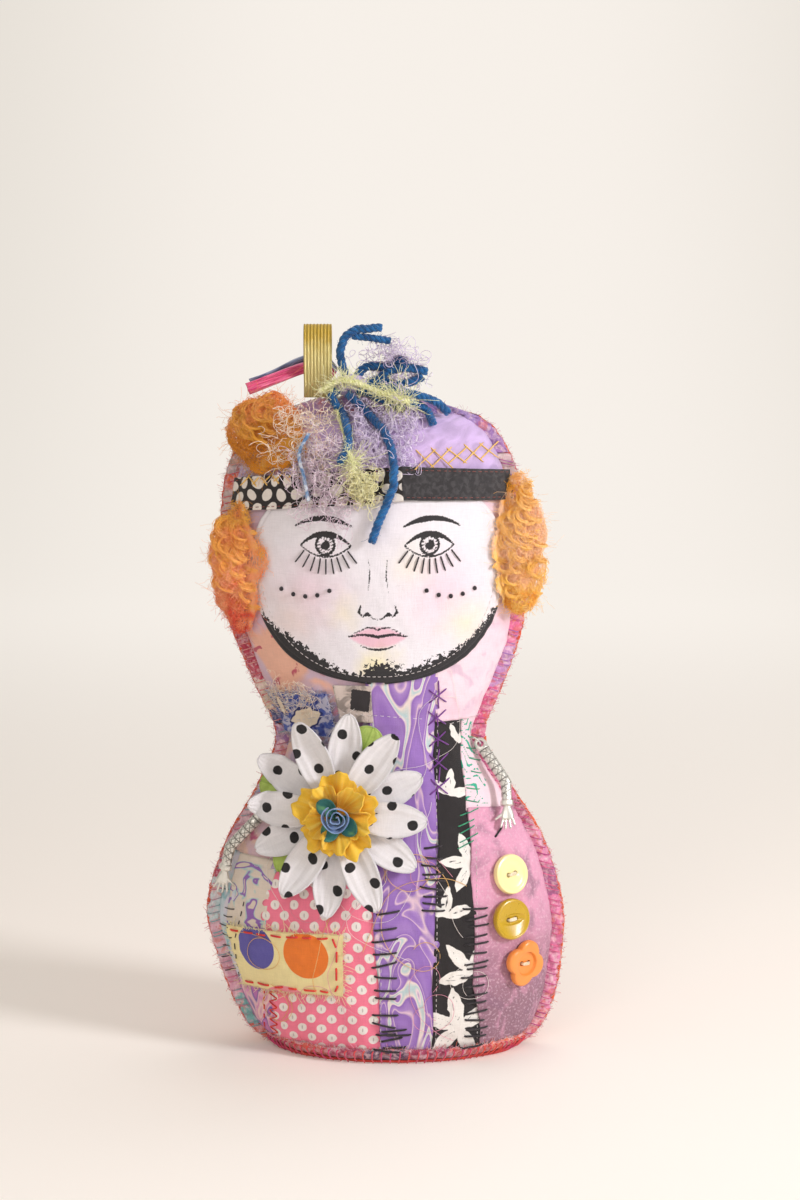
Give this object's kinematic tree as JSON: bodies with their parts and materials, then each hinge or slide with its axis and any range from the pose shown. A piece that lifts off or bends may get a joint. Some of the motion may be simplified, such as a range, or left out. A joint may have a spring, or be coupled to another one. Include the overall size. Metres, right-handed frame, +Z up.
{
  "type": "rag doll",
  "caption": "Stuffed patchwork rag doll with a pear-shaped body, oval face, fabric flower, sewn-on buttons, metal arms that swing on threads, and a topknot with a hanging loop.",
  "frame": {"origin": "middle of the flat base, on the surface that the doll stands on", "axes": "+Z up, +X to the viewer's right, the face looks along -Y"},
  "size_m": [0.1374, 0.0771, 0.2778],
  "materials": {
    "stuffing": "matte",
    "base_cloth": "matte",
    "back_cloth": "matte",
    "lower_left_cloth": "matte",
    "teal_cloth": "matte",
    "cream_marbled_cloth": "matte",
    "rose_cloth": "matte",
    "dotted_cloth": "matte",
    "chest_cloth": "matte",
    "peach_cloth": "matte",
    "purple_marbled_cloth": "matte",
    "leaf_print_cloth": "matte",
    "mauve_felt": "matte",
    "pale_pink_cloth": "matte",
    "lilac_velvet": "velvet",
    "face_cloth": "matte",
    "blue_cloth": "matte",
    "grey_cloth": "matte",
    "spotted_cloth": "matte",
    "dotted_black_cloth": "matte",
    "black_felt": "matte",
    "rose_binding": "matte",
    "crimson_binding": "matte",
    "purple_binding": "matte",
    "magenta_binding": "matte",
    "plum_binding": "matte",
    "green_felt": "matte",
    "petal_cloth": "matte",
    "yellow_cloth": "matte",
    "teal_ribbon": "satin",
    "blue_satin": "satin",
    "cream_button": "gloss",
    "yellow_button": "gloss",
    "orange_button": "gloss",
    "cream_thread": "matte",
    "pewter": "satin",
    "grey_thread": "matte",
    "lilac_wool": "matte",
    "gold_ribbon": "metallic",
    "magenta_ribbon": "satin",
    "slate_ribbon": "satin",
    "blue_yarn": "matte",
    "eyelash_yarn": "matte",
    "orange_wool": "matte"
  },
  "bodies": {
    "doll": {"body_filling": "stuffing", "head_filling": "stuffing", "base_panel": "base_cloth", "back_panel_body": "back_cloth", "back_panel_head": "back_cloth", "lower_left_patch": "lower_left_cloth", "teal_side_strip": "teal_cloth", "marbled_patch_left": "cream_marbled_cloth", "shoulder_panel_left": "rose_cloth", "dot_panel": "dotted_cloth", "chest_panel": "chest_cloth", "head_panel_left": "peach_cloth", "marbled_strip": "purple_marbled_cloth", "leaf_strip": "leaf_print_cloth", "hip_panel_right": "mauve_felt", "shoulder_panel_right": "pale_pink_cloth", "head_panel_right": "pale_pink_cloth", "cap_panel": "lilac_velvet", "face_panel": "face_cloth", "blue_scrap": "blue_cloth", "grey_scrap": "grey_cloth", "spotted_pocket": "spotted_cloth", "brow_band_left": "dotted_black_cloth", "brow_band_right": "black_felt", "binding_body_left": "rose_binding", "binding_head_left": "crimson_binding", "binding_crown": "purple_binding", "binding_head_right": "magenta_binding", "binding_body_right": "plum_binding", "binding_base": "crimson_binding", "flower_leaves": "green_felt", "petals_lower": "petal_cloth", "petals_upper": "petal_cloth", "yellow_petals": "yellow_cloth", "rose_leaves": "teal_ribbon", "ribbon_rose": "blue_satin", "button_cream": "cream_button", "button_thread_cream": "cream_thread", "button_fisheye": "yellow_button", "button_thread_fisheye": "cream_thread", "button_lobed": "orange_button", "button_thread_lobed": "cream_thread", "arm_thread_right": "grey_thread", "arm_thread_left": "grey_thread", "hair_knot": "lilac_wool", "gold_ribbon_loop": "gold_ribbon", "magenta_ribbon": "magenta_ribbon", "slate_ribbon": "slate_ribbon", "blue_yarn_upright": "blue_yarn", "blue_yarn_back": "blue_yarn", "blue_yarn_side": "blue_yarn", "blue_yarn_curl": "blue_yarn", "blue_yarn_temple": "blue_yarn", "blue_yarn_fringe": "blue_yarn", "eyelash_yarn": "eyelash_yarn", "wool_lock_left": "orange_wool", "wool_lock_right": "orange_wool", "wool_lock_top": "orange_wool"},
    "right_arm": {"arm_right": "pewter"},
    "left_arm": {"arm_left": "pewter"}
  },
  "joints": [
    {"name": "arm_right_swing", "type": "hinge", "parent": "doll", "child": "right_arm", "pos_m": [0.03633, -0.00519, 0.11875], "axis": [0, -0.9239, 0.3827], "range_deg": [0, 110]},
    {"name": "arm_left_swing", "type": "hinge", "parent": "doll", "child": "left_arm", "pos_m": [-0.04669, -0.01261, 0.093], "axis": [0, 0.9997, 0.0262], "range_deg": [0, 100]}
  ]
}
